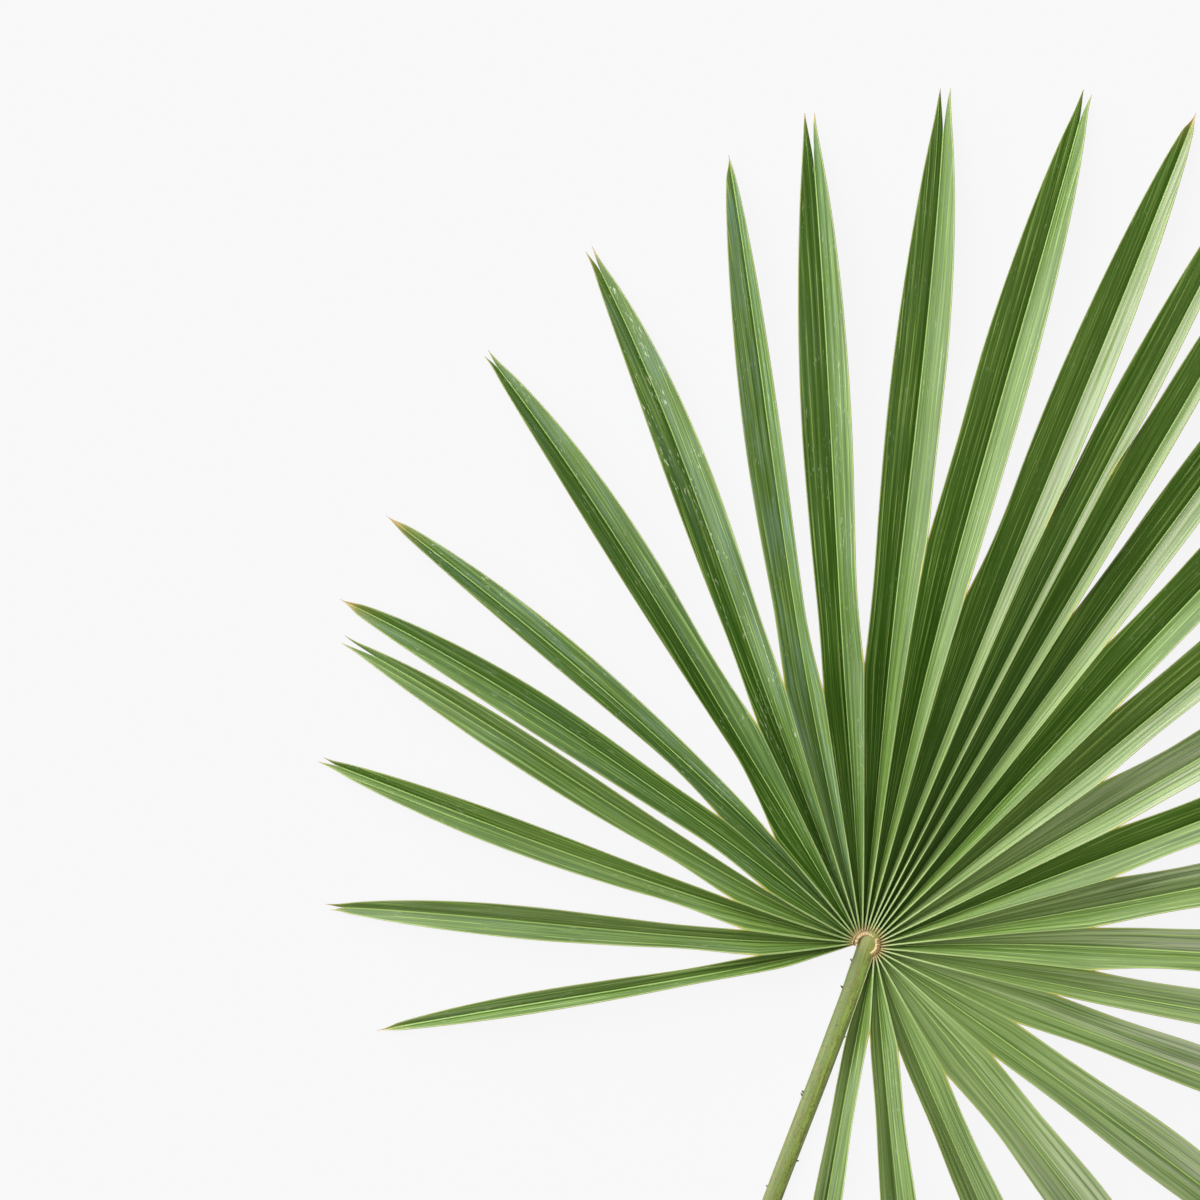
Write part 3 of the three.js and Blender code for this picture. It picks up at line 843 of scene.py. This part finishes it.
def petiole_material(s):
    """Palm petiole rind: a hard, smooth skin over long fibres, olive and stained; browner on the side
    towards the window, partly its own colour and partly painted shade, and paler on the other side with
    painted light, so that the window's light evens out.
    """
    material, put = new_material("Palm_petiole_rind")
    a = {key: put("ShaderNodeAttribute", out="Fac", attribute_name=key) for key in ("side", "below", "turn")}
    half = 6.0  # the petiole's half width in millimetres, so that the patterns keep their real size
    noises = {  # millimetres across the petiole, millimetres along it, salt, detail
        "fibre": (0.5, 34, 0, 3), "patch": (4, 30, 7, 2),
        "stain": (1.6, 7, 13, 4), "speck": (0.8, 1.4, 3, 1),
    }
    for key, (wide, long, salt, detail) in noises.items():
        x = put("ShaderNodeMath", {0: a["side"], 1: half / wide}, operation="MULTIPLY")
        y = put("ShaderNodeMath", {0: a["below"], 1: 1 / long}, operation="MULTIPLY")
        z = put("ShaderNodeMath", {0: a["turn"], 1: salt}, operation="ADD")
        place = put("ShaderNodeCombineXYZ", {0: x, 1: y, 2: z})
        noise = {"Vector": place, "Scale": 1.0, "Detail": detail, "Roughness": 0.6}
        a[key] = put("ShaderNodeTexNoise", noise)
    a["edge"] = put("ShaderNodeMath", {0: a["patch"], 1: 0.9, 2: a["side"]}, operation="MULTIPLY_ADD")
    a["rim"] = put("ShaderNodeMath", {0: a["side"]}, operation="ABSOLUTE")

    ranges = {  # mask: the value it follows, where the value starts and ends, and the mask there
        # The shaded mask is partly the petiole's own browner colour and partly painted shade on the side
        # towards the window; the paler side opposite is painted light.
        "shaded": (a["edge"], 0.9, -0.5, 0.0, 0.9),
        "pale_and_painted_light_side": (a["side"], -0.3, 0.7, 0.0, 0.95),
        "streak": (a["fibre"], 0.42, 0.66, 0.0, 0.6),
        "stained": (a["stain"], 0.5, 0.62, 0.0, 0.6),
        "speckled": (a["speck"], 0.62, 0.7, 0.0, 0.75),
        "brown_edge": (a["rim"], 0.84, 1.0, 0.0, 0.5),
        "head": (a["below"], 12.0, 0.0, 0.0, 0.55),
    }
    for key, (value, *span) in ranges.items():
        settings = {0: value, **dict(enumerate(span, start=1))}
        a[key] = put("ShaderNodeMapRange", settings, interpolation_type="SMOOTHSTEP")
    layers = (  # each is laid over those before it
        # Painted shade and painted light that even out the window's light, over the petiole's own browner
        # and paler sides.
        ("shaded", tuple(s.deep)),
        ("pale_and_painted_light_side", linear("#9fb35c")),
        ("streak", linear("#4f5a26")),
        ("stained", linear("#776d3c")),
        ("speckled", linear("#403820")),
        ("brown_edge", linear("#7a6a4c")),
        ("head", linear("#8d8c52")),
    )
    body = tuple(s.pale)
    for mask, colour in layers:
        body = put("ShaderNodeMix", {0: a[mask], 6: body, 7: colour}, out=2, data_type="RGBA")
    bump = put("ShaderNodeBump", {"Height": a["fibre"], "Strength": 0.5, "Distance": 0.12 * MM})
    shader = put("ShaderNodeBsdfPrincipled", {
        "Base Color": body, "Roughness": 0.5, "IOR": 1.45, "Normal": bump,
    })
    put("ShaderNodeOutputMaterial", {"Surface": shader})
    return material


def plain_noise_material(name, colour, dark, grain, roughness, height):
    """A dry plant tissue: one colour, mottled by a darker one at a grain size in metres."""
    material, put = new_material(name)
    place = put("ShaderNodeTexCoord", out="Object")
    noise = {"Vector": place, "Scale": 1 / grain, "Detail": 4.0, "Roughness": 0.6}
    grains = put("ShaderNodeTexNoise", noise)
    share = put("ShaderNodeMapRange", {0: grains, 1: 0.35, 2: 0.72, 3: 0.0, 4: 0.8},
                interpolation_type="SMOOTHSTEP")
    body = put("ShaderNodeMix", {0: share, 6: colour, 7: dark}, out=2, data_type="RGBA")
    bump = put("ShaderNodeBump", {"Height": grains, "Strength": 0.6, "Distance": height})
    shader = put("ShaderNodeBsdfPrincipled", {
        "Base Color": body, "Roughness": roughness, "IOR": 1.5, "Normal": bump,
    })
    put("ShaderNodeOutputMaterial", {"Surface": shader})
    return material


# ---- The hastula ----

HASTULA_ROWS = 150
HASTULA_SIDES = 16
SKIRT = 2.1 * MM  # the lip's outer edge spreads this far over the folds' ends
PATCH = 2.2 * MM  # and farther where its dry tissue is broadest
PATCH_BEARING = math.radians(62)  # towards the left of the leaf's axis
PATCH_SPREAD = math.radians(38)
END_STRETCH = math.radians(26)  # the lip's right end runs on over the last folds
STRETCHED = (math.radians(60), math.radians(112))  # from where it starts to stretch, to the right
OUTER_WALL = (6.2 * MM, 7.3 * MM)  # the lip's inner and outer walls lie on the two sides of this
SKIRT_DROP = 2.2 * MM  # how far the skirt's lower edge sags onto the folds
SKIRT_FALL = 0.9 * MM  # and its upper edge
WAVES = 9  # the torn edge is the sum of this many ripples


def build_hastula(settings, material):
    """The dry lip round the petiole's head, with a torn upper edge."""
    dice = random.Random(SEED + 3)
    points = corners_of("hastula")
    out = points[:, :2] - HUB
    bearing = np.arctan2(-out[:, 0], out[:, 1])
    radius = np.hypot(*out.T)
    polar = np.column_stack([bearing, radius, points[:, 2]])
    sections = sections_round(polar, bearing, 0.05, lambda part: part[:, 1:])
    coarse = np.array([closed_ring(section, HASTULA_SIDES) for section in sections])
    places = coarse[:, :, 0].mean(1)
    wanted = np.linspace(places[0], places[-1], HASTULA_ROWS)
    rings = through(places, coarse.reshape(len(places), -1), wanted).reshape(HASTULA_ROWS, -1, 3)
    low, high = rings[..., 2].min(1), rings[..., 2].max(1)
    share = (rings[..., 2] - low[:, None]) / (high - low)[:, None]
    torn = np.zeros(HASTULA_ROWS)
    for _ in range(WAVES):
        torn += np.sin(dice.uniform(9, 90) * wanted + dice.uniform(0, 6.28))
    lift = settings.torn * (torn / 5 - 0.5)
    rings[..., 2] += share ** 2 * lift[:, None]
    outer = smooth(rings[..., 1], *OUTER_WALL)
    patch = np.exp(-((wanted - PATCH_BEARING) / PATCH_SPREAD) ** 2)
    frayed = 0.5 * settings.torn * torn / 5
    skirt = SKIRT + (PATCH + frayed) * patch + frayed
    rings[..., 1] += outer * skirt[:, None]
    rings[..., 2] -= outer * (share * SKIRT_FALL + (1 - share) * SKIRT_DROP)
    reach_on = END_STRETCH * smooth(-wanted, *STRETCHED)
    angle, far = (wanted - reach_on)[:, None] + 0 * rings[..., 1], rings[..., 1]
    solid = np.stack([HUB[0] - far * np.sin(angle), HUB[1] + far * np.cos(angle), rings[..., 2]], axis=-1)
    faces = ring_faces(HASTULA_ROWS, HASTULA_SIDES)
    faces.append(tuple(reversed(range(HASTULA_SIDES))))
    faces.append(tuple(range((HASTULA_ROWS - 1) * HASTULA_SIDES, HASTULA_ROWS * HASTULA_SIDES)))
    return new_piece("hastula_lip", solid.reshape(-1, 3), faces, [material], "hastula")


# ---- The stage ----

FRAME_WIDTH = 780 * MM  # the view takes in this much at the leaf
AIM = np.array([-239.6, 149.8]) * MM  # from the hub to the middle of the view
ROLL = math.radians(20.2)  # the leaf's axis leans this far to the right in the view
SENSOR = 36
WINDOW_BEARING = math.radians(142) + ROLL  # where the soft window stands, turned with the view
WINDOW_HEIGHT = math.radians(30)
FLOOR_TINT = (0.03, 0.03, 0.034, 1)  # dark, so that shadows hardly show on the glow
FLOOR_GLOW = 0.965
FILL_TINT = (1, 1, 0.6, 1)  # the room's light is warmer than the window's


def build_floor(settings):
    """A pale plate that glows a little, as a light table does, so that shadows stay faint."""
    side = settings.floor / 2
    mesh = bpy.data.meshes.new("floor")
    around = [(-side, -side, 0), (side, -side, 0), (side, side, 0), (-side, side, 0)]
    mesh.from_pydata(around, [], [(0, 1, 2, 3)])
    floor = bpy.data.objects.new("floor", mesh)
    bpy.context.scene.collection.objects.link(floor)
    material, put = new_material("Matt_white_light_table")
    shader = put("ShaderNodeBsdfPrincipled", {
        "Base Color": FLOOR_TINT, "Roughness": 0.9, "Specular IOR Level": 0.0,
        "Emission Color": tuple(settings.white), "Emission Strength": FLOOR_GLOW,
    })
    put("ShaderNodeOutputMaterial", {"Surface": shader})
    mesh.materials.append(material)


def build_light(settings):
    """A wide soft window low on one side, and an even fill from everywhere else."""
    world = bpy.data.worlds.new("soft_studio")
    bpy.context.scene.world = world
    world.use_nodes = True
    world.node_tree.nodes.clear()
    put = partial(add, world.node_tree)
    toward = (math.cos(WINDOW_BEARING) * math.cos(WINDOW_HEIGHT),
              math.sin(WINDOW_BEARING) * math.cos(WINDOW_HEIGHT), math.sin(WINDOW_HEIGHT))
    direction = put("ShaderNodeTexCoord", out="Generated")
    facing = put("ShaderNodeVectorMath", {0: direction, 1: toward}, out="Value", operation="DOT_PRODUCT")
    glow = put("ShaderNodeMapRange", {0: facing, 1: 0.5, 2: 0.95, 3: settings.fill, 4: settings.key},
               interpolation_type="SMOOTHSTEP")
    whiter = put("ShaderNodeMapRange", {0: facing, 1: 0.5, 2: 0.7, 3: 0.0, 4: 1.0},
                 interpolation_type="SMOOTHSTEP")
    colour = put("ShaderNodeMix", {0: whiter, 6: FILL_TINT, 7: (1, 1, 1, 1)}, out=2, data_type="RGBA")
    light = put("ShaderNodeBackground", {"Color": colour, "Strength": glow})
    put("ShaderNodeOutputWorld", {"Surface": light})


def build_camera(settings):
    """A camera that looks straight down on the leaf, turned with it."""
    data = bpy.data.cameras.new("camera")
    data.type = "PERSP"
    data.sensor_width = SENSOR
    data.lens = SENSOR * settings.distance / FRAME_WIDTH
    data.clip_end = 50
    camera = bpy.data.objects.new("camera", data)
    bpy.context.scene.collection.objects.link(camera)
    aim = HUB + AIM
    camera.location = (aim[0], aim[1], settings.distance)
    camera.rotation_euler = (0, 0, ROLL)
    bpy.context.scene.camera = camera


# ---- Operators, one for each piece or group of like pieces ----


class PALM_OT_blade(bpy.types.Operator):
    """Build the blade's folded segments in place of their nodes"""

    bl_idname = "palm.blade"
    bl_label = "Blade Segments"

    def execute(self, context):
        settings = context.scene.palm_blade
        material = lamina_material(settings)
        for number, lines in enumerate(read_segments(), start=1):
            build_segment(number, lines, settings, material)
        return {"FINISHED"}


class PALM_OT_petiole(bpy.types.Operator):
    """Build the petiole with its teeth and its cut end"""

    bl_idname = "palm.petiole"
    bl_label = "Petiole"

    def execute(self, context):
        settings = context.scene.palm_stalk
        rind = petiole_material(settings)
        # Cut pith is moist and soft, so it is pale with a low sheen.
        pith = plain_noise_material("Palm_pith_fresh_cut", tuple(settings.pith), linear("#8f9354"),
                                    0.6 * MM, 0.55, 0.1 * MM)
        # Teeth and fibre ends are hard and dark, like horn.
        horn = plain_noise_material("Palm_tooth_horny", linear("#4d4026"), linear("#2b2416"),
                                    0.8 * MM, 0.4, 0.03 * MM)
        build_petiole(settings, [rind, pith])
        build_teeth(settings, horn)
        build_fibres(horn)
        return {"FINISHED"}


class PALM_OT_hastula(bpy.types.Operator):
    """Build the dry hastula round the petiole's head"""

    bl_idname = "palm.hastula"
    bl_label = "Hastula"

    def execute(self, context):
        settings = context.scene.palm_stalk
        # Dry, papery tissue scatters light, so it is matt and mottled from cream to brown.
        husk = plain_noise_material("Palm_hastula_dry_husk", tuple(settings.husk), linear("#a27c54"),
                                    1.4 * MM, 0.75, 0.2 * MM)
        build_hastula(settings, husk)
        return {"FINISHED"}


class PALM_OT_stage(bpy.types.Operator):
    """Set up the floor, the soft light and the camera"""

    bl_idname = "palm.stage"
    bl_label = "Stage"

    def execute(self, context):
        settings = context.scene.palm_stage
        build_floor(settings)
        build_light(settings)
        build_camera(settings)
        context.scene.view_settings.view_transform = "Standard"
        return {"FINISHED"}


OPERATORS = (PALM_OT_stage, PALM_OT_blade, PALM_OT_petiole, PALM_OT_hastula)
SETTINGS = {"palm_blade": BladeSettings, "palm_stalk": StalkSettings, "palm_stage": StageSettings}


class PALM_PT_leaf(bpy.types.Panel):
    """Lists the leaf's operators and settings"""

    bl_idname = "PALM_PT_leaf"
    bl_label = "Fan Palm Leaf"
    bl_space_type = "VIEW_3D"
    bl_region_type = "UI"
    bl_category = "Palm Leaf"

    def draw(self, context):
        for operator in OPERATORS:
            self.layout.operator(operator.bl_idname)
        for name in SETTINGS:
            group = getattr(context.scene, name)
            box = self.layout.box()
            for key in group.bl_rna.properties.keys():
                if key not in {"rna_type", "name"}:
                    box.prop(group, key)


def register():
    """Adds the settings, the operators and the panel."""
    for group in SETTINGS.values():
        bpy.utils.register_class(group)
    for operator in OPERATORS:
        bpy.utils.register_class(operator)
    bpy.utils.register_class(PALM_PT_leaf)
    for name, group in SETTINGS.items():
        setattr(bpy.types.Scene, name, PointerProperty(type=group))


def unregister():
    """Takes them away again."""
    for name in SETTINGS:
        delattr(bpy.types.Scene, name)
    for kind in (PALM_PT_leaf, *reversed(OPERATORS), *reversed(SETTINGS.values())):
        bpy.utils.unregister_class(kind)


def corners(box):
    """A box's two corners as plain lists."""
    return [list(corner) for corner in box]


def main():
    """Builds the stage and every piece."""
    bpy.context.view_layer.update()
    register()
    bpy.ops.palm.stage()
    bpy.ops.palm.blade()
    bpy.ops.palm.petiole()
    bpy.ops.palm.hastula()


if __name__ == "__main__":
    main()
